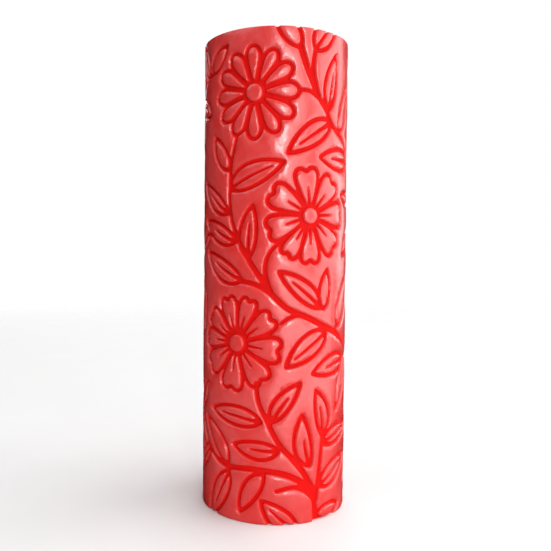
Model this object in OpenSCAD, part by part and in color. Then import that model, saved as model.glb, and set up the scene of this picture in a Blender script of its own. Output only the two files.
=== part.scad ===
// Textured pattern roller: a soft engraved sleeve, bonded to a rigid core that runs on two ball bearings.
// Millimetres. The roller stands on one end. +Z runs along its axis, and the origin is the centre of that end.
// The engraving faces -Y. Its flat drawing measures s round the roller, from -Y towards +X, and z up it.

/* [Sleeve] */
// Diameter over the pattern
roller_d = 56; // [52:1:62]
// Length of the soft sleeve
roller_len = 178; // [160:1:200]
// Depth of the engraved lines
engrave_depth = 1.4; // [0.8:0.1:2]
// Share of the drawn width that the lines are cut to
line_scale = 1; // [0.8:0.05:1.1]

/* [Core and end plugs] */
// Outside diameter of the rigid core tube
core_d = 45; // [44.5:0.5:46]
// Wall of the core tube
core_wall = 2.5; // [2:0.25:2.75]
// How far the plugs' outer faces lie inside the sleeve's ends
plug_inset = 0.5; // [0.2:0.1:1]
// Thickness of a plug's flange
flange_t = 2.5; // [2.5:0.25:4]
// How far a plug's spigot reaches into the core
spigot_len = 11; // [10:1:16]
// Number of ribs in a plug
plug_ribs = 8; // [4:2:12]

/* [Bearings] */
// Bore of a bearing, for the frame's axle
bearing_bore = 8; // [7.98:0.01:8.02]
// Outside diameter of a bearing
bearing_d = 22; // [21.95:0.01:22.05]
// Width of a bearing
bearing_w = 7; // [7:0.05:7.2]
// Number of balls in a bearing
ball_count = 7; // [6:1:8]
// Diameter of a ball
ball_d = 3.97; // [3.9:0.01:4]
// Outside diameter of the tube between the two inner rings
spacer_d = 12; // [11:0.25:12]
// Bore of that tube
spacer_bore = 8.4; // [8.2:0.1:8.8]

/* [Hidden] */
$fn = 96;

coral = [0.90, 0.22, 0.22];
grey_plastic = [0.62, 0.64, 0.66];
white_plastic = [0.90, 0.90, 0.87];
tube_metal = [0.78, 0.79, 0.81];
bearing_steel = [0.70, 0.71, 0.73];
ball_steel = [0.85, 0.86, 0.88];
spring_steel = [0.28, 0.28, 0.30];
cage_nylon = [0.93, 0.90, 0.80];

roller_r = roller_d / 2;
core_r = core_d / 2;
core_bore_r = core_r - core_wall;
flange_end = plug_inset + flange_t;

// Places along the axis, measured inwards from the sleeve's end face.
groove_start = plug_inset + 1;
clip_t = 1;
clip_play = 0.1;
bearing_start = groove_start + clip_play + clip_t;
bearing_end = bearing_start + bearing_w;

// A bearing's own radii
pitch_r = 7.5;
race_r = ball_d / 2 + 0.08;
outer_land_r = 8.9;
inner_land_r = 6.05;
shield_seat_r = 9.4;
shield_t = 0.4;
shield_start = bearing_w / 2 - 0.35 - shield_t;

// The drive keys on a plug's flange, which fill notches in the tube
key_w = 6;
key_h = 4;

// ---- The engraving, drawn flat ----
// The drawing is one tile, which repeats twice round the roller.
tile_w = 88;
tile_h = 178;
scale_s = PI * roller_d / 2 / tile_w;
scale_z = roller_len / tile_h;
leaf_line_w = 1.6;
petal_line_w = 1.6;
stem_steps = 2;
stem_stretch = 4; // stretches between points that one cutter spans
leaf_steps = 3;
petal_steps = 1;
line_reach = 1.5; // how far a line may lie outside its own points

// Stems: [widths at the two ends, points].
stems = [
    [1.9, 2.6, [[-44, 56], [-41, 44], [-36, 33], [-29, 24], [-20, 19.5], [-8, 19.7], [3, 18.6], [10, 15.5],
        [15, 11]]],
    [1.8, 2.6, [[-6.5, 51], [-5.3, 44], [-1.5, 36], [2.5, 29], [7, 24], [12, 18], [15.5, 12], [16.7, 5],
        [17, -2]]],
    [1.6, 2.6, [[20, 31], [19.3, 24], [18.3, 16], [17, 8]]],
    [1.9, 2.6, [[-13, 87.6], [-8, 86.8], [-2, 84], [5, 78], [13, 74.6], [20, 71.4], [29, 67.5], [37, 62],
        [44, 56]]],
    [1.4, 2.0, [[1.8, 101.8], [-2, 97.5], [-3.4, 91.5], [-1.6, 84.5]]],
    [1.4, 1.8, [[2.6, 72.6], [4.8, 74.2], [9, 75.6], [14, 74.4]]],
    [1.5, 2.4, [[-14.8, 140], [-17.4, 130], [-18.2, 119], [-16.5, 108], [-12, 99], [-7, 91.5],
        [-1.5, 84.2]]],
    [2.6, 1.8, [[9, 171], [12, 163], [16.5, 154.5], [20.5, 149.5], [25, 143.8], [32, 140.2], [38, 133],
        [42, 121], [44, 108]]],
    [1.8, 2.2, [[15, 171], [14.2, 163], [16.5, 154.5]]],
    [1.4, 2.0, [[8.6, 155.8], [13, 155.6], [18.5, 152.5]]],
    [1.8, 1.4, [[-44, 108], [-43, 99], [-40.5, 91], [-37, 85]]],
    [2.0, 2.4, [[28.5, 72], [28, 69.5], [29, 67]]],
    [1.6, 2.2, [[1.2, 12.2], [7, 13.4], [12, 12], [16.5, 8]]],
    [1.5, 1.8, [[-44, 151], [-40, 158], [-34, 163], [-28, 164.5]]],
    [1.8, 1.4, [[-36.5, 34], [-42, 25], [-45, 15], [-46, 4]]]
];

// Leaves: [base, tip, belly to the left of the line from base to tip, belly to the right, midrib share].
leaves = [
    [[9, 171], [-1, 184], 3.2, 3.4, 0],
    [[15, 170.5], [26, 184], 4.6, 3.6, 0.7],
    [[22.3, 150], [26, 170.5], 4.3, 1.8, 0.7],
    [[23, 145.5], [4.5, 133.3], 3.2, 4.6, 0.8],
    [[37.5, 132.5], [17.5, 132.5], 3.9, 3.9, 0.75],
    [[-18, 121], [3.2, 130.2], 5, 3.4, 0.85],
    [[-19, 128], [-26.5, 140.5], 2.8, 2.8, 0],
    [[-19, 112], [-35, 124], 3.4, 2.6, 0.6],
    [[-15.5, 101.5], [-33.5, 110], 3.6, 3.0, 0.6],
    [[-10, 96], [-8.2, 115], 4.4, 2.4, 0.7],
    [[-12.5, 87.8], [-31.5, 98], 4.6, 2.6, 0.7],
    [[18.5, 78], [1.6, 91.2], 2.9, 3.8, 0.75],
    [[20, 77.5], [21.6, 92], 3.0, 2.3, 0],
    [[28.2, 70.5], [40.5, 90], 4.6, 3.2, 0],
    [[21.5, 69], [4.5, 57], 3.4, 4.8, 0.85],
    [[34.5, 58], [15, 54.2], 3.1, 4.1, 0.7],
    [[-0.8, 37], [10, 51], 3.9, 2.2, 0.65],
    [[-4.5, 36.8], [-27, 39.5], 2.9, 4.0, 0.8],
    [[2, 26.5], [-15.5, 28], 3.8, 2.6, 0.65],
    [[14.3, 20.5], [11, 39.6], 5.0, 1.9, 0.55],
    [[20, 31], [16.6, 48], 1.7, 4.8, 0.65],
    [[20.3, 28], [40, 31.4], 4.2, 2.2, 0.8],
    [[19, 12.5], [36.5, 20.5], 4.4, 3.2, 0.75],
    [[17.5, 2], [31, 3.2], 2.6, 2.6, 0],
    [[-18, 20], [-32, 35.5], 1.6, 4.6, 0],
    [[-3.5, 18.2], [-12.7, 3.6], 2.4, 4.0, 0],
    [[-17.5, 17.5], [-27.5, -1.5], 3.6, 4.0, 0.75],
    [[9.5, -3], [-4.3, 8.6], 4.4, 3.2, 0.8],
    [[-29, 24], [-41, 14], 3.0, 3.2, 0.6],
    [[-37.5, 84.5], [-36, 68.5], 3.4, 3.0, 0.6],
    [[-42, 98], [-29.5, 105], 2.2, 2.2, 0],
    [[-28.5, 164.5], [-19.5, 173], 3.4, 2.4, 0],
    [[-32, 163.5], [-38, 176.5], 3.0, 3.0, 0.6],
    [[-41.5, 155.5], [-29.5, 149.5], 2.8, 3.0, 0.7],
    [[38.5, 132], [43.5, 149], 2.8, 3.0, 0.6],
    [[42.5, 118], [30.5, 119.5], 2.2, 2.4, 0],
    [[43.8, 106], [32, 97.5], 3.0, 3.2, 0.7],
    [[39, 60], [28, 39.5], 2.6, 3.4, 0.6],
    [[28.5, 143], [35.5, 160], 2.6, 3.2, 0],
    [[-42, 156.5], [-49, 170], 3.0, 3.0, 0],
    [[41.3, 123.5], [49, 137], 2.8, 2.8, 0],
    [[-43.8, 110], [-38, 121], 2.2, 2.2, 0],
    [[-40.3, 90], [-47.5, 78], 2.4, 2.4, 0],
    [[-42.5, 49], [-50, 35.5], 2.6, 2.4, 0],
    [[-38.5, 38.5], [-31, 49], 2.4, 2.8, 0],
    [[-43.5, 20], [-52, 10], 2.8, 2.6, 0],
    [[-45, 11], [-37, 2], 2.4, 2.6, 0],
    [[-46, 5], [-50, -6], 2.4, 2.4, 0]
];

// Flowers: [centre, radius, radius of the eye, petal, directions of the petals in degrees].
flowers = [
    [[-8, 155], 17.4, 3.0, "round", [2, 34, 62, 92, 122, 152, 182, 212, 241, 270, 301, 330]],
    [[13.6, 111.3], 17.8, 2.8, "notched", [3, 51, 97, 151, 199, 237, 270, 315]],
    [[-14.6, 65], 17.9, 3.0, "notched", [-8, 35, 71, 105, 143, 177, 214, 262, 308]]
];

// Half of a petal's outline, from its root to its tip, as shares of its length and of its half-width.
round_half = [[0, 0.15], [0.35, 0.68], [0.76, 1], [0.96, 0.6], [1, 0]];
notched_half = [[0, 0.15], [0.4, 0.72], [0.78, 1], [0.97, 0.8], [1, 0.38], [0.92, 0]];

function mix(a, b, t) = a + (b - a) * t;
function unit(v) = v / norm(v);
function left_of(v) = [-v[1], v[0]];
function polar(r, a) = r * [cos(a), sin(a)];
function last(p) = p[len(p) - 1];

// A smooth line through the points: each stretch is a cubic that leaves a point parallel to its neighbours.
function at(p, i) = p[max(0, min(len(p) - 1, i))];
function spline_point(p, i, t) =
    let (a = p[i], b = p[i + 1])
    let (leave = (b - at(p, i - 1)) / 2, arrive = (at(p, i + 2) - a) / 2)
    mix(a, b, t * t * (3 - 2 * t)) + leave * t * (1 - t) * (1 - t) - arrive * t * t * (1 - t);
function spline(p, steps, from = 0, to = -1) =
    let (end = to < 0 ? len(p) - 1 : to)
    [for (i = [from : end - 1], k = [0 : steps - 1]) spline_point(p, i, k / steps), p[end]];

// One side of a leaf, from its base to its tip, bowed out to the left by about the belly.
function leaf_side(base, tip, belly) =
    let (along = tip - base, out = left_of(unit(along)) * belly)
    let (near_base = base + along * 0.18 + out * 1.55, near_tip = base + along * 0.72 + out * 1.1)
    [for (k = [0 : leaf_steps]) let (t = k / leaf_steps, s = 1 - t)
        base * s * s * s + near_base * 3 * s * s * t + near_tip * 3 * s * t * t + tip * t * t * t];

function leaf_outline(base, tip, left, right) =
    let (other_side = leaf_side(base, tip, -right))
    concat(leaf_side(base, tip, left), [for (k = [leaf_steps - 1 : -1 : 1]) other_side[k]]);

// A petal's outline, from its root at radius root, round its tip at radius r and back, in direction a.
function petal_outline(half, root, r, half_w, a) =
    let (n = len(half))
    let (sides = concat(half, [for (i = [n - 2 : -1 : 0]) [half[i][0], -half[i][1]]]))
    [for (p = spline(sides, petal_steps)) polar(mix(root, r, p[0]), a) + polar(half_w * p[1], a + 90)];

// The half-width that a petal may take at four fifths of its length, from the gaps to its neighbours.
function gap_after(list, i) =
    let (gap = list[(i + 1) % len(list)] - list[i])
    gap <= 0 ? gap + 360 : gap;
function petal_half_width(r, list, i) =
    let (n = len(list), half_gap = (gap_after(list, i) + gap_after(list, (i + n - 1) % n)) / 4)
    min(r * 0.78 * tan(half_gap) - 0.4, 5.6);

// A line of the drawing as a closed outline, w0 wide at its start and w1 at its end.
function stroke(p, w0, w1) =
    let (n = len(p))
    let (sides = [for (i = [0 : n - 1])
        left_of(unit(at(p, i + 1) - at(p, i - 1))) * mix(w0, w1, i / (n - 1)) / 2 * line_scale])
    concat([for (i = [0 : n - 1]) p[i] + sides[i]], [for (i = [n - 1 : -1 : 0]) p[i] - sides[i]]);

// Each line is cut square to the roller at its own middle, and its points are drawn as seen from there.
function low_s(p) = min([for (q = p) q[0]]);
function high_s(p) = max([for (q = p) q[0]]);
function middle_of(p) = (low_s(p) + high_s(p)) / 2;
function angle_of(s) = s * scale_s / roller_r * 180 / PI;
function seen(p, middle) = [for (q = p) [roller_r * sin(angle_of(q[0] - middle)), q[1] * scale_z]];

// Stands a flat shape up at its place round the roller, to cut outwards from just under the floor.
module upright(p) {
    half_spread = (high_s(p) - low_s(p)) / 2 + line_reach;
    start = sqrt(pow(roller_r - engrave_depth, 2) - pow(half_spread, 2)) - 0.3;
    rotate([0, 0, -90 + angle_of(middle_of(p))])
        translate([start, 0, 0])
            rotate([90, 0, 90])
                linear_extrude(height = roller_r + 1 - start) offset(delta = 0.001) children();
}

module stem(w0, w1, p) {
    n = len(p) - 1;
    for (k = [0 : stem_stretch : n - 1]) {
        to = min(k + stem_stretch, n);
        part = spline(p, stem_steps, k, to);
        middle = middle_of(part);
        upright(part) polygon(stroke(seen(part, middle), mix(w0, w1, k / n), mix(w0, w1, to / n)));
        if (to < n) stem_joint(p[to], mix(w0, w1, to / n));
    }
}

// A round hole over the meeting of two stretches of a stem.
module stem_joint(p, w) {
    rotate([0, 0, -90 + angle_of(p[0])])
        translate([roller_r - engrave_depth - 0.5, 0, p[1] * scale_z])
            rotate([0, 90, 0]) cylinder(r = w / 2 * line_scale + 0.08, h = engrave_depth + 1.5);
}

// A leaf: a line of even width round its outline, and a tapered midrib.
module leaf(base, tip, left, right, rib) {
    outline = leaf_outline(base, tip, left, right);
    middle = middle_of(outline);
    half_line = leaf_line_w / 2 * line_scale;
    bend = left_of(unit(tip - base)) * (left - right) * 0.3;
    midrib = [base, mix(base, tip, 0.12 + rib * 0.4) + bend, mix(base, tip, rib * 0.95) + bend * 0.8];
    upright(outline) {
        difference() {
            offset(delta = half_line) polygon(seen(outline, middle));
            offset(delta = -half_line) polygon(seen(outline, middle));
        }
        if (rib > 0) polygon(stroke(seen(midrib, middle), 1.6, 0.8));
    }
}

// A flower's outlines, moved to its centre.
function disc_outline(centre, r) = [for (a = [0 : 30 : 330]) centre + polar(r, a)];
function spoke(centre, r, eye, a) = [centre + polar(eye + 1.5, a), centre + polar(mix(eye, r, 0.5), a)];
function petal_at(f, i) =
    let (half = f[3] == "round" ? round_half : notched_half)
    let (root = f[2] + 1.6, tip = f[1] - petal_line_w / 2, half_w = petal_half_width(f[1], f[4], i))
    let (outline = petal_outline(half, root, tip, half_w, f[4][i]))
    [for (p = outline) f[0] + p];

// A flower: everything within its outline is cut, except the petals' flats and the eye.
module flower(f) {
    centre = f[0];
    r = f[1];
    eye = f[2];
    directions = f[4];
    middle = centre[0];
    half_line = petal_line_w / 2 * line_scale;
    petals = [for (i = [0 : len(directions) - 1]) seen(petal_at(f, i), middle)];
    upright([[middle - r, 0], [middle + r, 0]]) {
        difference() {
            union() {
                offset(delta = half_line)
                    for (p = petals) polygon(p);
                polygon(seen(disc_outline(centre, r * 0.6), middle));
            }
            for (p = petals)
                offset(delta = -half_line) polygon(p);
            polygon(seen(disc_outline(centre, eye), middle));
        }
        if (f[3] == "notched")
            for (a = directions)
                polygon(stroke(seen(spoke(centre, r, eye, a), middle), 1.6, 0.9));
    }
}

module tile() {
    for (s = stems) stem(s[0], s[1], s[2]);
    for (l = leaves) leaf(l[0], l[1], l[2], l[3], l[4]);
    for (f = flowers) flower(f);
}

// ---- Shapes that several pieces share ----
module ring(outer_r, inner_r, height) {
    difference() {
        cylinder(r = outer_r, h = height);
        translate([0, 0, -1]) cylinder(r = inner_r, h = height + 2);
    }
}

// A ring centred on z = 0 with its outer or inner edges broken by the bevels given.
module bearing_ring(outer_r, inner_r, outer_bevel, inner_bevel) {
    half_w = bearing_w / 2;
    rotate_extrude()
        polygon([
            [inner_r, -half_w + inner_bevel], [inner_r + inner_bevel, -half_w],
            [outer_r - outer_bevel, -half_w], [outer_r, -half_w + outer_bevel],
            [outer_r, half_w - outer_bevel], [outer_r - outer_bevel, half_w],
            [inner_r + inner_bevel, half_w], [inner_r, half_w - inner_bevel]
        ]);
}

module ball_race() {
    rotate_extrude() translate([pitch_r, 0]) circle(r = race_r, $fn = 48);
}

module at_each_ball() {
    for (i = [0 : ball_count - 1])
        rotate([0, 0, i * 360 / ball_count]) translate([pitch_r, 0, 0]) children();
}

// Both ends are alike. What is drawn inwards from the lower end is mirrored to the upper one.
module at_end(upper) {
    if (upper) translate([0, 0, roller_len]) mirror([0, 0, 1]) children();
    else children();
}

module at_bearing(upper) {
    at_end(upper) translate([0, 0, (bearing_start + bearing_end) / 2]) children();
}

// Two blocks on opposite sides of the core, from the flange inwards.
module drive_blocks(width, height) {
    for (side = [0, 180])
        rotate([0, 0, side]) translate([core_bore_r - 1, -width / 2, flange_end - 1])
            cube([core_wall + 2, width, height + 1]);
}

// ---- The sleeve and its core ----
module pattern_sleeve() {
    color(coral)
        difference() {
            ring(roller_r, core_r, roller_len);
            difference() {
                for (turn = [0, 180]) rotate([0, 0, turn]) tile();
                translate([0, 0, -20]) cylinder(r = roller_r - engrave_depth, h = roller_len + 40);
            }
        }
}

module core_tube() {
    notch_play = 0.1;
    color(grey_plastic)
        difference() {
            translate([0, 0, flange_end]) ring(core_r, core_bore_r, roller_len - 2 * flange_end);
            for (upper = [false, true])
                at_end(upper) drive_blocks(key_w + 2 * notch_play, key_h + notch_play);
        }
}

module bearing_spacer() {
    color(tube_metal)
        translate([0, 0, bearing_end]) ring(spacer_d / 2, spacer_bore / 2, roller_len - 2 * bearing_end);
}

// ---- End plugs: a hub that seats the bearing, a ribbed web, a flange over the core, a spigot inside it ----
module plug_body() {
    seat_r = bearing_d / 2;
    hub_r = 13.2;
    shoulder_r = 9.2;
    collar_bore_r = spacer_d / 2 + 0.35;
    collar_r = 8.8;
    flange_r = core_r - 0.1;
    flange_bore_r = core_bore_r - 1;
    spigot_bore_r = core_bore_r - 2.4;
    web_start = plug_inset + 2;
    web_end = flange_end + 1.5;
    hub_end = bearing_end + 2.8;
    collar_end = bearing_end + 6.4;
    spigot_end = flange_end + spigot_len;
    rotate_extrude()
        polygon([
            [seat_r + 0.4, plug_inset], [seat_r, plug_inset + 0.4], [seat_r, groove_start],
            [seat_r + 0.5, groove_start], [seat_r + 0.5, bearing_start], [seat_r, bearing_start],
            [seat_r, bearing_end], [shoulder_r, bearing_end],
            [shoulder_r, bearing_end + 1.2], [collar_bore_r, bearing_end + 1.2],
            [collar_bore_r, collar_end], [collar_r, collar_end], [collar_r, hub_end],
            [hub_r, hub_end], [hub_r, web_end], [spigot_bore_r, web_end],
            [spigot_bore_r, spigot_end], [core_bore_r - 0.5, spigot_end], [core_bore_r, spigot_end - 0.5],
            [core_bore_r, flange_end], [flange_r, flange_end],
            [flange_r, plug_inset + 0.4], [flange_r - 0.4, plug_inset], [flange_bore_r, plug_inset],
            [flange_bore_r, web_start], [hub_r, web_start], [hub_r, plug_inset]
        ]);
}

// The ribs on both sides of the web, from the hub to the flange outside and to the spigot inside.
module plug_rib_set() {
    rib_t = 1.5;
    for (i = [0 : plug_ribs - 1])
        rotate([0, 0, (i + 0.5) * 360 / plug_ribs]) {
            translate([13, -rib_t / 2, plug_inset + 0.5]) cube([core_bore_r - 13.8, rib_t, 2]);
            translate([13, -rib_t / 2, flange_end + 1]) cube([core_bore_r - 15, rib_t, 7]);
        }
}

module drive_keys() {
    intersection() {
        drive_blocks(key_w, key_h);
        translate([0, 0, flange_end - 0.5]) ring(core_r - 0.2, core_bore_r - 0.5, key_h + 1);
    }
}

module end_plug(upper) {
    color(white_plastic)
        at_end(upper) {
            plug_body();
            plug_rib_set();
            drive_keys();
        }
}

// An internal retaining ring: open between two lugs, each with a hole for the pliers.
module at_each_lug() {
    for (side = [-14, 14])
        rotate([0, 0, side]) translate([8.9, 0, 0]) children();
}

module retaining_ring(upper) {
    gap_w = 1.8;
    color(spring_steel)
        at_end(upper) translate([0, 0, bearing_start - clip_t])
            difference() {
                union() {
                    ring(bearing_d / 2 + 0.45, bearing_d / 2 - 1.4, clip_t);
                    at_each_lug() cylinder(r = 1.7, h = clip_t);
                }
                translate([6, -gap_w / 2, -1]) cube([7, gap_w, clip_t + 2]);
                at_each_lug() translate([0, 0, -1]) cylinder(r = 0.7, h = clip_t + 2);
            }
}

// ---- Ball bearings ----
module bearing_outer_ring(upper) {
    color(bearing_steel)
        at_bearing(upper)
            difference() {
                bearing_ring(bearing_d / 2, outer_land_r, 0.3, 0);
                ball_race();
                for (side = [0, 1])
                    mirror([0, 0, side]) translate([0, 0, shield_start]) cylinder(r = shield_seat_r, h = 2);
            }
}

module bearing_inner_ring(upper) {
    color(bearing_steel)
        at_bearing(upper)
            difference() {
                bearing_ring(inner_land_r, bearing_bore / 2, 0, 0.3);
                ball_race();
            }
}

module bearing_balls(upper) {
    color(ball_steel)
        at_bearing(upper) at_each_ball() sphere(d = ball_d, $fn = 48);
}

// A crown cage: a ring with a round pocket for each ball, open on the side away from the roller's end.
module bearing_cage(upper) {
    color(cage_nylon)
        at_bearing(upper)
            difference() {
                translate([0, 0, -2.4]) ring(8.35, 6.65, 3.3);
                at_each_ball() sphere(r = ball_d / 2 + 0.1, $fn = 48);
            }
}

// The thin plate that closes one side of a bearing: side 1 is the inner side, and -1 the outer.
module bearing_shield(upper, side) {
    color(tube_metal)
        at_bearing(upper) translate([0, 0, side > 0 ? shield_start : -shield_start - shield_t])
            ring(shield_seat_r, inner_land_r + 0.3, shield_t);
}

pattern_sleeve();
core_tube();
bearing_spacer();
end_plug(false);  // lower_end_plug
end_plug(true);  // upper_end_plug
retaining_ring(false);  // lower_retaining_ring
retaining_ring(true);  // upper_retaining_ring
bearing_outer_ring(false);  // lower_bearing_outer_ring
bearing_outer_ring(true);  // upper_bearing_outer_ring
bearing_inner_ring(false);  // lower_bearing_inner_ring
bearing_inner_ring(true);  // upper_bearing_inner_ring
bearing_balls(false);  // lower_bearing_balls
bearing_balls(true);  // upper_bearing_balls
bearing_cage(false);  // lower_bearing_cage
bearing_cage(true);  // upper_bearing_cage
bearing_shield(false, -1);  // lower_bearing_outer_shield
bearing_shield(true, -1);  // upper_bearing_outer_shield
bearing_shield(false, 1);  // lower_bearing_inner_shield
bearing_shield(true, 1);  // upper_bearing_inner_shield
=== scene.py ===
import math

import bpy
import numpy as np
from mathutils import Matrix, Vector


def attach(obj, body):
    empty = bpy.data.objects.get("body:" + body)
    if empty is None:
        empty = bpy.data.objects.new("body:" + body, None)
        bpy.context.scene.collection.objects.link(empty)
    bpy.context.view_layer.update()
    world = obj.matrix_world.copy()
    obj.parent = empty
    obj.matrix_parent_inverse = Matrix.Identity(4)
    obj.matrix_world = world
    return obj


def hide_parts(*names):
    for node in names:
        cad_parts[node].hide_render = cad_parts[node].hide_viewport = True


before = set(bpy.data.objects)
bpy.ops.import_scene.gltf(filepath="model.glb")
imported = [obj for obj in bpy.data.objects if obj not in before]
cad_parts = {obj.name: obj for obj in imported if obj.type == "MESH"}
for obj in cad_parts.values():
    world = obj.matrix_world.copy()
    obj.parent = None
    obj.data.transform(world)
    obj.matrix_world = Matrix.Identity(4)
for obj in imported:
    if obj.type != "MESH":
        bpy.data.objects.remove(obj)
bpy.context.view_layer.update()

# ---- Sizes, in millimetres as in the CAD model ----
MM = 0.001
ROLLER_R = 28.0
ROLLER_LEN = 178.0
CORE_R = 22.5
END_RING_R = 25.0                  # an extra ring of points on each end face
RIM_ROUND = 0.5
BORE_CHAMFER = 0.3
TILE_W = 88.0                      # the flat drawing repeats twice round the roller

ENGRAVE_DEPTH = 1.4
SWELL_DEPTH = 0.22                 # the part of the depth that is a wide, soft dip beside the lines
SWELL_BLUR = 1.5
EDGE_BLUR = 0.32                   # rounds the upper edges of the lines

LEAF_LINE_W = 1.6
RIB_W = (1.6, 0.8)                 # a midrib, at the leaf's base and at its own end
PETAL_LINE_W = 1.6
SPOKE_W = (1.3, 0.8)               # the line in the middle of a notched petal, at the eye and at its end
PETAL_GAP = 0.9                    # from the middle line between two petals to the widest point of each
PETAL_HALF_W = 4.7                 # no half of a petal is wider than this
ROOT_GAP = 1.2                     # from the eye to a petal's root
SPOKE_GAP = 1.5                    # from the eye to a spoke

STROKE_STEPS = 8                   # straight pieces between two points of a stem or midrib
LEAF_STEPS = 14                    # straight pieces in one side of a leaf
PETAL_STEPS = 6                    # straight pieces between two points of a petal
SLEEVE_TRIANGLES = 190000

# ---- The engraving, drawn flat: s round the roller from -Y towards +X, and z up it ----
# Stems: (width at the start, width at the end, points).
STEMS = [
    (1.9, 2.6, [(-44, 56), (-41, 44), (-36, 33), (-29, 24), (-20, 19.5), (-8, 19.7), (3, 18.6), (10, 15.5),
                (15, 11)]),
    (1.8, 2.6, [(-6.5, 51), (-5.3, 44), (-1.5, 36), (2.5, 29), (7, 24), (12, 18), (15.5, 12), (16.7, 5),
                (17, -2)]),
    (1.6, 2.6, [(20, 31), (19.3, 24), (18.3, 16), (17, 8)]),
    (1.9, 2.6, [(-13, 87.6), (-8, 86.8), (-2, 84), (5, 78), (13, 74.6), (20, 71.4), (29, 67.5), (37, 62),
                (44, 56)]),
    (1.4, 2.0, [(2.4, 102.4), (-2, 97.5), (-3.4, 91.5), (-1.6, 84.5)]),
    (1.4, 1.8, [(2.6, 72.6), (4.8, 74.2), (9, 75.6), (14, 74.4)]),
    (1.5, 2.4, [(-14.8, 140), (-17.4, 130), (-18.2, 119), (-16.5, 108), (-12, 99), (-7, 91.5),
                (-1.5, 84.2)]),
    (2.6, 1.8, [(9, 171), (12, 163), (16.5, 154.5), (20.5, 149.5), (25, 143.8), (32, 140.2), (38, 133),
                (42, 121), (44, 108)]),
    (1.8, 2.2, [(15, 171), (14.2, 163), (16.5, 154.5)]),
    (1.4, 2.0, [(8.6, 155.8), (13, 155.6), (18.5, 152.5)]),
    (1.8, 1.4, [(-44, 108), (-43, 99), (-40.5, 91), (-37, 85)]),
    (2.0, 2.4, [(28.5, 72), (28, 69.5), (29, 67)]),
    (1.6, 2.2, [(1.2, 12.2), (7, 13.4), (12, 12), (16.5, 8)]),
    (1.5, 1.8, [(-44, 151), (-40, 158), (-34, 163), (-28, 164.5)]),
    (1.8, 1.4, [(-36.5, 34), (-42, 25), (-45, 15), (-46, 4)]),
]

# Leaves: (base, tip, belly left of the line from base to tip, belly right of it, share with a midrib).
LEAVES = [
    ((9, 171), (-1, 184), 3.2, 3.4, 0),
    ((15, 170.5), (26, 184), 4.6, 3.6, 0.7),
    ((22.3, 150), (26, 170.5), 4.3, 1.8, 0.7),
    ((23, 145.5), (4.5, 133.3), 3.2, 4.6, 0.8),
    ((37.5, 132.5), (17.5, 132.5), 3.9, 3.9, 0.75),
    ((-18, 121), (3.2, 130.2), 5, 3.4, 0.85),
    ((-19, 128), (-26.5, 140.5), 2.8, 2.8, 0),
    ((-19, 112), (-35, 124), 3.4, 2.6, 0.6),
    ((-15.5, 101.5), (-33.5, 110), 3.6, 3.0, 0.6),
    ((-10, 96), (-8.2, 115), 4.4, 2.4, 0.7),
    ((-12.5, 87.8), (-31.5, 98), 4.6, 2.6, 0.7),
    ((18.5, 78), (1.6, 91.2), 2.9, 3.8, 0.75),
    ((20, 77.5), (21.6, 92), 3.0, 2.3, 0),
    ((28.2, 70.5), (40.5, 90), 4.6, 3.2, 0),
    ((21.5, 69), (4.5, 57), 3.4, 4.8, 0.85),
    ((34.5, 58), (15, 54.2), 3.1, 4.1, 0.7),
    ((-0.8, 37), (10, 51), 3.9, 2.2, 0.65),
    ((-4.5, 36.8), (-27, 39.5), 2.9, 4.0, 0.8),
    ((2, 26.5), (-15.5, 28), 3.8, 2.6, 0.65),
    ((14.3, 20.5), (11, 39.6), 5.0, 1.9, 0.55),
    ((20, 31), (16.6, 48), 1.7, 4.8, 0.65),
    ((20.3, 28), (40, 31.4), 4.2, 2.2, 0.8),
    ((19, 12.5), (36.5, 20.5), 4.4, 3.2, 0.75),
    ((17.5, 2), (31, 3.2), 2.6, 2.6, 0),
    ((-18, 20), (-32, 35.5), 1.6, 4.6, 0),
    ((-3.5, 18.2), (-12.7, 3.6), 2.4, 4.0, 0),
    ((-17.5, 17.5), (-27.5, -1.5), 3.6, 4.0, 0.75),
    ((9.5, -3), (-4.3, 8.6), 4.4, 3.2, 0.8),
    ((-29, 24), (-41, 14), 3.0, 3.2, 0.6),
    ((-37.5, 84.5), (-36, 68.5), 3.4, 3.0, 0.6),
    ((-42, 98), (-29.5, 105), 2.2, 2.2, 0),
    ((-28.5, 164.5), (-19.5, 173), 3.4, 2.4, 0),
    ((-32, 163.5), (-38, 176.5), 3.0, 3.0, 0.6),
    ((-41.5, 155.5), (-29.5, 149.5), 2.8, 3.0, 0.7),
    ((38.5, 132), (43.5, 149), 2.8, 3.0, 0.6),
    ((42.5, 118), (30.5, 119.5), 2.2, 2.4, 0),
    ((43.8, 106), (32, 97.5), 3.0, 3.2, 0.7),
    ((39, 60), (28, 39.5), 2.6, 3.4, 0.6),
    ((28.5, 143), (35.5, 160), 2.6, 3.2, 0),
    ((-42, 156.5), (-49, 170), 3.0, 3.0, 0),
    ((41.3, 123.5), (49, 137), 2.8, 2.8, 0),
    ((-43.8, 110), (-38, 121), 2.2, 2.2, 0),
    ((-40.3, 90), (-47.5, 78), 2.4, 2.4, 0),
    ((-42.5, 49), (-50, 35.5), 2.6, 2.4, 0),
    ((-38.5, 38.5), (-31, 49), 2.4, 2.8, 0),
    ((-43.5, 20), (-52, 10), 2.8, 2.6, 0),
    ((-45, 11), (-37, 2), 2.4, 2.6, 0),
    ((-46, 5), (-50, -6), 2.4, 2.4, 0),
]

# Flowers: (centre, radius, radius of the eye, petal, directions of the petals in degrees).
FLOWERS = [
    ((-8, 155), 17.4, 3.0, "round", [2, 34, 62, 92, 122, 152, 182, 212, 241, 270, 301, 330]),
    ((13.6, 111.3), 17.8, 2.8, "notched", [3, 51, 97, 151, 199, 237, 270, 315]),
    ((-14.6, 65), 17.9, 3.0, "notched", [-8, 35, 71, 105, 143, 177, 214, 262, 308]),
]

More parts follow.
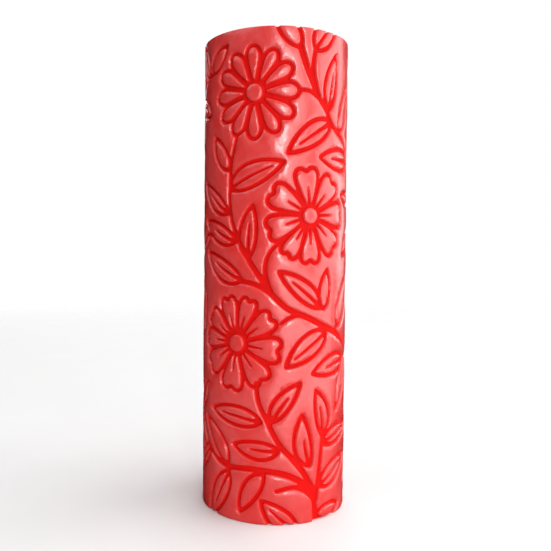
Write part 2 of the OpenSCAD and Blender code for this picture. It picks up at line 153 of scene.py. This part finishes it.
# Half of a petal's outline, from its root to its tip, as shares of its length and of its half-width.
PETAL_HALVES = {
    "round": [(0, 0.3), (0.35, 0.72), (0.72, 1), (0.93, 0.62), (1, 0)],
    "notched": [(0, 0.34), (0.4, 0.76), (0.78, 1), (0.97, 0.8), (1, 0.38), (0.92, 0)],
}


# ---- Drawing ----
def mix(a, b, t):
    return a + (b - a) * t


def left_of(v):
    """The unit vector at a right angle to v, on its left."""
    unit = v / np.linalg.norm(v)
    return np.array([-unit[1], unit[0]])


def polar(r, degrees):
    a = math.radians(degrees)
    return r * np.array([math.cos(a), math.sin(a)])


def spline(points, steps):
    """A smooth line through the points. It passes each one parallel to the line between its neighbours."""
    p = [np.array(q, float) for q in points]
    last = len(p) - 1
    curve = []
    for i in range(last):
        a, b = p[i], p[i + 1]
        leave = (b - p[max(0, i - 1)]) / 2
        arrive = (p[min(last, i + 2)] - a) / 2
        for k in range(steps):
            t = k / steps
            straight = mix(a, b, t * t * (3 - 2 * t))
            curve.append(straight + leave * t * (1 - t) ** 2 - arrive * t * t * (1 - t))
    curve.append(p[-1])
    return curve


def leaf_side(base, tip, belly):
    """One side of a leaf, a cubic curve that swells most in its lower half, by about the belly."""
    along = tip - base
    out = left_of(along) * belly
    near_base = base + along * 0.18 + out * 1.55
    near_tip = base + along * 0.72 + out * 1.1
    curve = []
    for k in range(LEAF_STEPS + 1):
        t = k / LEAF_STEPS
        s = 1 - t
        curve.append(base * s ** 3 + near_base * 3 * s * s * t + near_tip * 3 * s * t * t + tip * t ** 3)
    return curve


def midrib(base, tip, left, right, share):
    """The line along a leaf, bent towards the fuller side."""
    bend = left_of(tip - base) * (left - right) * 0.3
    points = [mix(base, tip, 0.08) + bend * 0.4, mix(base, tip, 0.12 + share * 0.4) + bend,
              mix(base, tip, share * 0.95) + bend * 0.8]
    return spline(points, STROKE_STEPS)


def gap_after(directions, i):
    """The angle from one petal to the next."""
    gap = directions[(i + 1) % len(directions)] - directions[i]
    return gap + 360 if gap <= 0 else gap


def petal_outline(flower, i):
    centre, r, eye, shape, directions = flower
    half_gap = (gap_after(directions, i) + gap_after(directions, (i - 1) % len(directions))) / 4
    widest_at = r * 0.78
    half_w = min(widest_at * math.tan(math.radians(half_gap)) - PETAL_GAP, PETAL_HALF_W)
    root, tip = eye + ROOT_GAP, r - PETAL_LINE_W / 2
    half = PETAL_HALVES[shape]
    sides = half + [(x, -y) for x, y in half[-2::-1]]
    a = directions[i]
    return [np.array(centre) + polar(mix(root, tip, x), a) + polar(half_w * y, a + 90)
            for x, y in spline(sides, PETAL_STEPS)]


def spoke(flower, i):
    centre, r, eye, _, directions = flower
    return [np.array(centre) + polar(reach, directions[i]) for reach in (eye + SPOKE_GAP, mix(eye, r, 0.5))]


def strokes():
    """Every line of the tile, as (points, width at the start, width at the end)."""
    for start_w, end_w, points in STEMS:
        yield spline(points, STROKE_STEPS), start_w, end_w
    for base, tip, left, right, rib in LEAVES:
        base, tip = np.array(base, float), np.array(tip, float)
        for belly in (left, -right):
            yield leaf_side(base, tip, belly), LEAF_LINE_W, LEAF_LINE_W
        if rib:
            yield midrib(base, tip, left, right, rib), *RIB_W
    for flower in FLOWERS:
        _, _, _, shape, directions = flower
        for i in range(len(directions)):
            yield petal_outline(flower, i), PETAL_LINE_W, PETAL_LINE_W
            if shape == "notched":
                yield spoke(flower, i), *SPOKE_W


# ---- The tile as a field of cut (1) and uncut (0), on a grid that wraps round in s ----
CELL = 0.125
NS, NZ = int(TILE_W / CELL), int(ROLLER_LEN / CELL)


def window(low_s, high_s, low_z, high_z):
    """The grid's cells in a box, as indexes that wrap in s, with their s and z. None for an empty box."""
    i = np.arange(math.floor((low_s + TILE_W / 2) / CELL), math.ceil((high_s + TILE_W / 2) / CELL) + 1)
    j = np.arange(max(0, math.floor(low_z / CELL)), min(NZ - 1, math.ceil(high_z / CELL)) + 1)
    if len(j) == 0:
        return None
    s = (i + 0.5) * CELL - TILE_W / 2
    z = (j + 0.5) * CELL
    return np.ix_(j, i % NS), s[None, :], z[:, None]


def draw_segment(field, a, b, start_w, end_w):
    """Cuts a straight line whose width changes evenly from one end to the other."""
    reach = max(start_w, end_w) / 2 + CELL
    found = window(min(a[0], b[0]) - reach, max(a[0], b[0]) + reach,
                   min(a[1], b[1]) - reach, max(a[1], b[1]) + reach)
    if found is None:
        return
    cells, s, z = found
    d = b - a
    t = np.clip(((s - a[0]) * d[0] + (z - a[1]) * d[1]) / max(d @ d, 1e-9), 0, 1)
    off = np.hypot(s - a[0] - t * d[0], z - a[1] - t * d[1])
    cover = np.clip(0.5 + (mix(start_w, end_w, t) / 2 - off) / CELL, 0, 1)
    field[cells] = np.maximum(field[cells], cover)


def inside_polygon(polygon, s, z):
    inside = np.zeros(np.broadcast(s, z).shape, bool)
    for k, a in enumerate(polygon):
        b = polygon[(k + 1) % len(polygon)]
        if a[1] != b[1]:
            crosses = (z < a[1]) != (z < b[1])
            inside ^= crosses & (s < (b[0] - a[0]) * (z - a[1]) / (b[1] - a[1]) + a[0])
    return inside


def fill_flower(field, flower):
    """Cuts what lies between the petals near the eye, and leaves the eye itself."""
    centre, r, eye, _, directions = flower
    cells, s, z = window(centre[0] - r, centre[0] + r, centre[1] - r, centre[1] + r)
    from_centre = np.hypot(s - centre[0], z - centre[1])
    open_ground = from_centre < r * 0.6
    for i in range(len(directions)):
        open_ground &= ~inside_polygon(petal_outline(flower, i), s, z)
    ground = np.maximum(field[cells], open_ground)
    field[cells] = np.where(from_centre < eye, np.clip(0.5 + (from_centre - eye) / CELL, 0, 1), ground)


def blur(field, width):
    """Gaussian blur that wraps in s and repeats the end rows in z."""
    pad = int(4 * width / CELL) + 1
    tall = np.pad(field, ((pad, pad), (0, 0)), mode="edge")
    fz = np.fft.fftfreq(tall.shape[0], CELL)[:, None]
    fs = np.fft.rfftfreq(tall.shape[1], CELL)[None, :]
    gain = np.exp(-2 * (math.pi * width) ** 2 * (fz ** 2 + fs ** 2))
    return np.fft.irfft2(np.fft.rfft2(tall) * gain, s=tall.shape)[pad:-pad]


def smoothstep(x, low, high):
    t = np.clip((x - low) / (high - low), 0, 1)
    return t * t * (3 - 2 * t)


def engraving():
    """Height of the tile's surface over the grid, in millimetres: 0 on the flats, and less in the lines."""
    field = np.zeros((NZ, NS))
    for points, start_w, end_w in strokes():
        count = len(points) - 1
        for k in range(count):
            draw_segment(field, points[k], points[k + 1], mix(start_w, end_w, k / count),
                         mix(start_w, end_w, (k + 1) / count))
    for flower in FLOWERS:
        fill_flower(field, flower)
    groove = smoothstep(blur(field, EDGE_BLUR), 0.25, 1.0)
    swell = np.clip(blur(field, SWELL_BLUR) * 1.6, 0, 1)
    return -(ENGRAVE_DEPTH - SWELL_DEPTH) * groove - SWELL_DEPTH * swell


# ---- Meshes ----
def make_smooth(mesh):
    mesh.polygons.foreach_set("use_smooth", [True] * len(mesh.polygons))


def add_mesh(name, vertices, faces):
    mesh = bpy.data.meshes.new(name)
    mesh.from_pydata(vertices, [], faces)
    make_smooth(mesh)
    mesh.update()
    piece = bpy.data.objects.new(name, mesh)
    bpy.context.scene.collection.objects.link(piece)
    return piece


def surface_radius(height, s, z):
    """The engraved surface's radius at each pair of z and s, worked out between the four nearest cells."""
    columns = (((s + TILE_W / 2) % TILE_W) / CELL - 0.5)
    rows = np.clip(z / CELL - 0.5, 0, NZ - 1)
    c0 = np.floor(columns).astype(int)
    r0 = np.clip(np.floor(rows).astype(int), 0, NZ - 2)
    fc = (columns - c0)[None, :]
    fr = (rows - r0)[:, None]
    low = height[r0][:, c0 % NS] * (1 - fc) + height[r0][:, (c0 + 1) % NS] * fc
    high = height[r0 + 1][:, c0 % NS] * (1 - fc) + height[r0 + 1][:, (c0 + 1) % NS] * fc
    return ROLLER_R + low * (1 - fr) + high * fr


def rim_drop(z):
    """How far the small round at each rim lowers the surface."""
    inward = RIM_ROUND - np.minimum(z, ROLLER_LEN - z)
    round_off = RIM_ROUND - np.sqrt(np.maximum(0, RIM_ROUND ** 2 - inward ** 2))
    return np.where(inward > 0, round_off, 0) * 0.8


def closed_rings(rings, angle):
    """Points and faces of a tube. Each ring of points is (radius, height), and the last joins the first."""
    count = len(angle)
    points = np.concatenate([np.stack([r * np.cos(angle), r * np.sin(angle), np.full(count, h)], 1)
                             for r, h in rings])
    a = np.arange(count)
    b = (a + 1) % count
    faces = []
    for k in range(len(rings)):
        low_row, high_row = k * count, ((k + 1) % len(rings)) * count
        faces.append(np.stack([low_row + a, low_row + b, high_row + b, high_row + a], 1))
    return points, np.concatenate(faces)


def reduce_triangles(piece, target):
    reduce = piece.modifiers.new("reduce", "DECIMATE")
    reduce.ratio = target / (2 * len(piece.data.polygons))
    bpy.context.view_layer.objects.active = piece
    with bpy.context.temp_override(object=piece):
        bpy.ops.object.modifier_apply(modifier=reduce.name)
    make_smooth(piece.data)


def sleeve_piece():
    """The sleeve: the engraved surface wrapped round the roller, closed by two end faces and the bore."""
    step = 2 * CELL
    s = np.arange(int(2 * TILE_W / step)) * step
    z = np.linspace(0, ROLLER_LEN, int(ROLLER_LEN / step) + 1)
    surface = surface_radius(engraving(), s, z) - rim_drop(z)[:, None]
    rings = list(zip(surface, z))
    bore_edge = CORE_R + BORE_CHAMFER
    rings += [(END_RING_R, ROLLER_LEN), (bore_edge, ROLLER_LEN), (CORE_R, ROLLER_LEN - BORE_CHAMFER),
              (CORE_R, BORE_CHAMFER), (bore_edge, 0), (END_RING_R, 0)]
    points, faces = closed_rings(rings, s / TILE_W * math.pi - math.pi / 2)
    piece = add_mesh("engraved_sleeve", (points * MM).tolist(), faces.tolist())
    reduce_triangles(piece, SLEEVE_TRIANGLES)
    return piece


# ---- Materials ----
class Nodes:
    """A short way to write a node material."""

    def __init__(self, name):
        self.material = bpy.data.materials.new(name)
        self.material.use_nodes = True
        self.tree = self.material.node_tree
        self.shader = self.tree.nodes["Principled BSDF"]

    def add(self, kind, inputs=(), **settings):
        node = self.tree.nodes.new(kind)
        for key, value in settings.items():
            setattr(node, key, value)
        for key, value in dict(inputs).items():
            self.put(node.inputs[key], value)
        return node

    def put(self, socket, value):
        if isinstance(value, bpy.types.NodeSocket):
            self.tree.links.new(value, socket)
        else:
            socket.default_value = value

    def math(self, operation, *values):
        node = self.add("ShaderNodeMath", operation=operation)
        for socket, value in zip(node.inputs, values):
            self.put(socket, value)
        return node.outputs[0]

    def spread(self, value, low, high, to_low=0.0, to_high=1.0):
        """The value, stretched from one range to another and held at the ends."""
        node = self.add("ShaderNodeMapRange", {"Value": value, "From Min": low, "From Max": high,
                                               "To Min": to_low, "To Max": to_high})
        return node.outputs["Result"]

    def place(self):
        return self.add("ShaderNodeTexCoord").outputs["Object"]

    def noise(self, scale, detail, vector=None):
        node = self.add("ShaderNodeTexNoise", {"Scale": scale, "Detail": detail})
        self.put(node.inputs["Vector"], vector or self.place())
        return node.outputs["Fac"]

    def blend(self, factor, a, b):
        node = self.add("ShaderNodeMix", data_type="RGBA")
        self.put(node.inputs["Factor"], factor)
        self.put(node.inputs["A"], a)
        self.put(node.inputs["B"], b)
        return node.outputs["Result"]

    def bump(self, height, strength, distance, normal=None):
        node = self.add("ShaderNodeBump", {"Height": height, "Strength": strength, "Distance": distance})
        if normal:
            self.put(node.inputs["Normal"], normal)
        return node.outputs["Normal"]

    def set(self, **values):
        """Sets or links the shader's sockets, and gives back the finished material."""
        for key, value in values.items():
            self.put(self.shader.inputs[key.replace("_", " ")], value)
        return self.material


def from_axis(nodes):
    """Distance from the roller's axis, in metres."""
    parts = nodes.add("ShaderNodeSeparateXYZ", {"Vector": nodes.place()}).outputs
    squares = nodes.math("ADD", nodes.math("MULTIPLY", parts["X"], parts["X"]),
                         nodes.math("MULTIPLY", parts["Y"], parts["Y"]))
    return nodes.math("SQRT", squares)


def on_end_faces(nodes):
    """One on the roller's two end faces, and zero between them."""
    height = nodes.add("ShaderNodeSeparateXYZ", {"Vector": nodes.place()}).outputs["Z"]
    from_middle = nodes.math("ABSOLUTE", nodes.math("SUBTRACT", height, ROLLER_LEN / 2 * MM))
    return nodes.spread(from_middle, (ROLLER_LEN / 2 - 0.6) * MM, (ROLLER_LEN / 2 - 0.2) * MM)


def soft_rubber():
    """Coral rubber: pale mottled coral on the flats and end faces as painted sheen, the lines' red deepened
    as painted shade, and an uneven satin skin.
    """
    n = Nodes("soft_coral_rubber")
    # The rubber's own red in the lines, deepened and saturated as painted shade in the recesses.
    line_red_and_painted_shade = (0.81, 0.0042, 0.0024, 1)
    # The flats' pale coral is painted sheen: a pink haze of reflected light painted into the colour.
    sheen_deep_coral, sheen_pale_coral = (0.87, 0.030, 0.026, 1), (0.91, 0.090, 0.086, 1)
    # Paler where the surface stands higher, so the colour darkens towards the lines as painted shade; the
    # end faces take the painted sheen too.
    top = n.spread(from_axis(n), (ROLLER_R - 1.15) * MM, (ROLLER_R - 0.30) * MM)
    flat = n.math("MAXIMUM", top, on_end_faces(n))
    # Two noises mottle the painted sheen into uneven patches of painted reflection.
    clouds = n.spread(n.noise(scale=45, detail=4), 0.38, 0.68, 0.0, 0.65)
    specks = n.spread(n.noise(scale=230, detail=3), 0.40, 0.66, 0.0, 0.35)
    painted_sheen = n.blend(n.math("ADD", clouds, specks), sheen_deep_coral, sheen_pale_coral)
    fine = n.noise(scale=900, detail=4)
    roughness = n.math("ADD", n.spread(flat, 0, 1, 0.72, 0.36), n.spread(fine, 0.3, 0.7, -0.04, 0.05))
    grain = n.bump(fine, strength=0.18, distance=0.00008)
    skin = n.bump(n.noise(scale=110, detail=4), strength=0.6, distance=0.0008, normal=grain)
    # Base colour: painted shade in the lines, painted sheen on the flats and end faces.
    return n.set(Base_Color=n.blend(flat, line_red_and_painted_shade, painted_sheen), Roughness=roughness, Normal=skin, IOR=1.5,
                 Specular_IOR_Level=0.12, Coat_Weight=n.spread(top, 0.08, 1.0), Coat_Roughness=0.28,
                 Coat_IOR=1.75, Coat_Normal=skin)


def moulded_plastic(name, colour, shade, roughness, grain):
    """Plastic with a fine grain, whose colour drifts a little towards the shade."""
    n = Nodes(name)
    patches = n.noise(scale=60, detail=3)
    fine = n.noise(scale=grain, detail=3)
    tone = n.blend(n.spread(patches, 0.35, 0.7), colour, shade)
    uneven = n.math("ADD", roughness, n.spread(fine, 0.3, 0.7, -0.05, 0.06))
    return n.set(Base_Color=tone, Roughness=uneven, Normal=n.bump(fine, strength=0.25, distance=0.00005))


def turned_metal(name, colour, roughness, rings):
    """Metal finished on a lathe: fine rings about the roller's axis."""
    n = Nodes(name)
    height = n.add("ShaderNodeSeparateXYZ", {"Vector": n.place()}).outputs["Z"]
    ring_place = n.add("ShaderNodeCombineXYZ", {"X": from_axis(n), "Y": height}).outputs[0]
    lines = n.noise(scale=rings, detail=2, vector=ring_place)
    clouds = n.noise(scale=120, detail=3)
    darker = tuple(c * 0.86 for c in colour[:3]) + (1,)
    tone = n.blend(n.spread(clouds, 0.3, 0.7), colour, darker)
    uneven = n.math("ADD", roughness, n.spread(lines, 0.3, 0.7, -0.06, 0.08))
    return n.set(Base_Color=tone, Metallic=1.0, Roughness=uneven,
                 Normal=n.bump(lines, strength=0.12, distance=0.00002))


def give(material, *nodes):
    for name in nodes:
        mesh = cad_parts[name].data
        mesh.materials.clear()
        mesh.materials.append(material)


def both(part):
    """The names of a part's lower and upper copies."""
    return ["lower_" + part, "upper_" + part]


def finish_cad_nodes():
    dark_grey, darker_grey = (0.17, 0.175, 0.18, 1), (0.14, 0.145, 0.15, 1)
    off_white, warm_white = (0.80, 0.80, 0.76, 1), (0.72, 0.72, 0.68, 1)
    nylon, nylon_shade = (0.72, 0.66, 0.50, 1), (0.66, 0.60, 0.44, 1)
    give(moulded_plastic("core_tube_plastic", dark_grey, darker_grey, roughness=0.5, grain=700),
         "core_tube")
    give(moulded_plastic("plug_plastic", off_white, warm_white, roughness=0.42, grain=1400),
         *both("end_plug"))
    give(moulded_plastic("cage_nylon", nylon, nylon_shade, roughness=0.4, grain=1500),
         *both("bearing_cage"))
    give(turned_metal("spacer_aluminium", (0.80, 0.81, 0.82, 1), roughness=0.34, rings=3000),
         "bearing_spacer")
    give(turned_metal("bearing_steel", (0.60, 0.61, 0.63, 1), roughness=0.22, rings=5000),
         *both("bearing_outer_ring"), *both("bearing_inner_ring"))
    give(turned_metal("ball_steel", (0.75, 0.76, 0.78, 1), roughness=0.10, rings=4000),
         *both("bearing_balls"))
    give(turned_metal("shield_steel", (0.55, 0.56, 0.58, 1), roughness=0.30, rings=6000),
         *both("bearing_outer_shield"), *both("bearing_inner_shield"))
    give(turned_metal("spring_steel", (0.035, 0.036, 0.040, 1), roughness=0.38, rings=5000),
         *both("retaining_ring"))


# ---- Camera, light and floor, in metres ----
LIGHT_TARGET = Vector((0, 0, 0.09))


def make_camera():
    """The camera, close to the roller and at about the height of its middle."""
    data = bpy.data.cameras.new("camera")
    data.sensor_width = 36
    data.lens = 42.39
    data.shift_x = 0.061
    data.shift_y = -0.0183
    data.clip_start = 0.01
    camera = bpy.data.objects.new("camera", data)
    camera.location = (0, -0.2584, 0.0999)
    down, left, roll = math.radians(1.618), math.radians(2.865), math.radians(0.422)
    turn = (Matrix.Rotation(left, 3, "Z") @ Matrix.Rotation(math.pi / 2 - down, 3, "X")
            @ Matrix.Rotation(roll, 3, "Z"))
    camera.rotation_euler = turn.to_euler()
    bpy.context.scene.collection.objects.link(camera)
    bpy.context.scene.camera = camera


def around(azimuth, elevation, distance):
    """A place seen from the roller's middle: azimuth from -Y towards +X, and elevation, in degrees."""
    a, e = math.radians(azimuth), math.radians(elevation)
    return Vector((distance * math.sin(a) * math.cos(e), -distance * math.cos(a) * math.cos(e),
                   LIGHT_TARGET.z + distance * math.sin(e)))


def panel_light(name, place, width, height, radiance):
    """A soft rectangular light of a stated radiance, aimed at the roller's middle."""
    data = bpy.data.lights.new(name, "AREA")
    data.shape = "RECTANGLE"
    data.size, data.size_y = width, height
    data.energy = radiance * math.pi * width * height
    lamp = bpy.data.objects.new(name, data)
    lamp.location = place
    lamp.rotation_mode = "QUATERNION"
    lamp.rotation_quaternion = (lamp.location - LIGHT_TARGET).to_track_quat("Z", "Y")
    bpy.context.scene.collection.objects.link(lamp)
    return lamp


def only_on(lamp, name):
    """Keeps a lamp's light to one object."""
    lit = bpy.data.collections.new("lit_by_" + lamp.name)
    lit.objects.link(bpy.data.objects[name])
    lamp.light_linking.receiver_collection = lit


def make_lights():
    panel_light("front_panel", around(30, 16, 1.0), width=0.7, height=0.7, radiance=2.2)
    panel_light("side_panel", around(95, 18, 1.0), width=1.2, height=0.7, radiance=2.1)
    panel_light("top_panel", Vector((0.5, -0.2, 1.2)), width=1.2, height=1.2, radiance=1.2)
    panel_light("fill_panel", around(-65, 52, 1.2), width=1.2, height=1.0, radiance=1.15)
    panel_light("rim_panel", around(128, 2, 1.0), width=0.4, height=0.26, radiance=2.0)
    panel_light("back_panel", around(-178, 35, 1.4), width=1.0, height=1.2, radiance=2.2)
    panel_light("small_lamp", around(12, 13, 1.0), width=0.10, height=0.16, radiance=40.0)
    floor_panel = panel_light("floor_panel", Vector((0.6, 0.1, 1.3)), width=1.2, height=1.2, radiance=1.7)
    only_on(floor_panel, "floor")


def make_floor():
    """A pale floor that thins out into the white of the world, and that glossy surfaces don't mirror."""
    floor = add_mesh("floor", [(-2, -2, 0), (2, -2, 0), (2, 2, 0), (-2, 2, 0)], [(0, 1, 2, 3)])
    n = Nodes("pale_floor")
    fade = n.spread(from_axis(n), 0.12, 0.85, 1.0, 0.0)
    tone = n.blend(n.noise(scale=30, detail=2), (0.86, 0.86, 0.86, 1), (0.89, 0.89, 0.89, 1))
    floor.data.materials.append(n.set(Base_Color=tone, Roughness=0.9, Alpha=fade))
    floor.visible_glossy = False


def make_glow_card():
    """A glowing card lying to the front right, out of the camera's view, that lights by emission. Only
    glossy surfaces show it.
    """
    turns = [math.radians(a) for a in range(0, 101, 10)]
    near, far = ([(r * math.sin(a), -r * math.cos(a), 0.001) for a in turns] for r in (0.15, 1.6))
    count = len(turns)
    faces = [(i, i + count, i + 1 + count, i + 1) for i in range(count - 1)]
    card = add_mesh("bounce_card", near + far, faces)
    # The card glows: black base colour and white emission, no lit white surface.
    card.data.materials.append(Nodes("glowing_card").set(Base_Color=(0, 0, 0, 1), Roughness=1.0,
                                                       Emission_Color=(1, 1, 1, 1), Emission_Strength=1.9))
    card.visible_camera = False
    card.visible_diffuse = False
    card.visible_shadow = False


def make_world():
    """A white surround that only the camera sees. The light comes from the panels and the floor."""
    world = bpy.data.worlds.new("studio")
    world.use_nodes = True
    background = world.node_tree.nodes["Background"]
    background.inputs["Color"].default_value = (1, 1, 1, 1)
    background.inputs["Strength"].default_value = 1.0
    world.cycles_visibility.diffuse = False
    world.cycles_visibility.glossy = False
    bpy.context.scene.world = world


make_camera()
make_world()
make_floor()
make_glow_card()
make_lights()
bpy.context.scene.view_settings.view_transform = "Standard"

sleeve = sleeve_piece()
sleeve.data.materials.append(soft_rubber())
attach(sleeve, "roller")
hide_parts("pattern_sleeve")
finish_cad_nodes()
